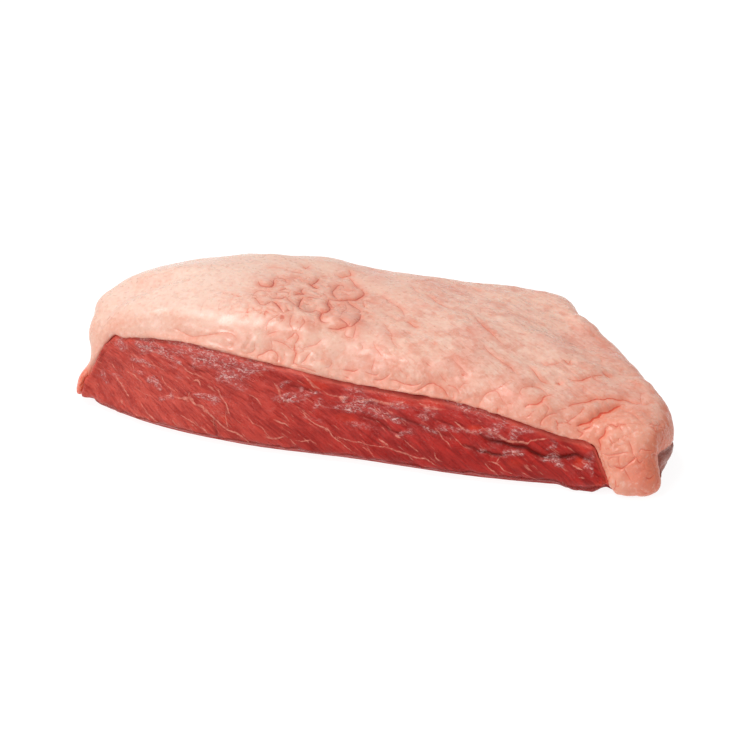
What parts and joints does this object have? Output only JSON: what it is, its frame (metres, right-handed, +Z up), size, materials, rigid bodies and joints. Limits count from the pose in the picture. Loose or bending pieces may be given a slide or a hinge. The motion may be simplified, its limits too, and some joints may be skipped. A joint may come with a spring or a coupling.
{
  "type": "raw picanha",
  "caption": "Raw picanha: a wedge of lean beef with a draped fat cap that folds down over the front corner of its thin end.",
  "frame": {"origin": "middle of the bounding box in plan, on the surface that the meat lies on", "axes": "+X along the cut from its round thick end to its broad thin end, +Y from the trimmed face to the back, +Z up through the fat cap"},
  "size_m": [0.2878, 0.1458, 0.0628],
  "materials": {
    "fat": null,
    "lean": null
  },
  "bodies": {
    "root": {"fat_cap": "fat", "lean_muscle": "lean"}
  },
  "joints": []
}
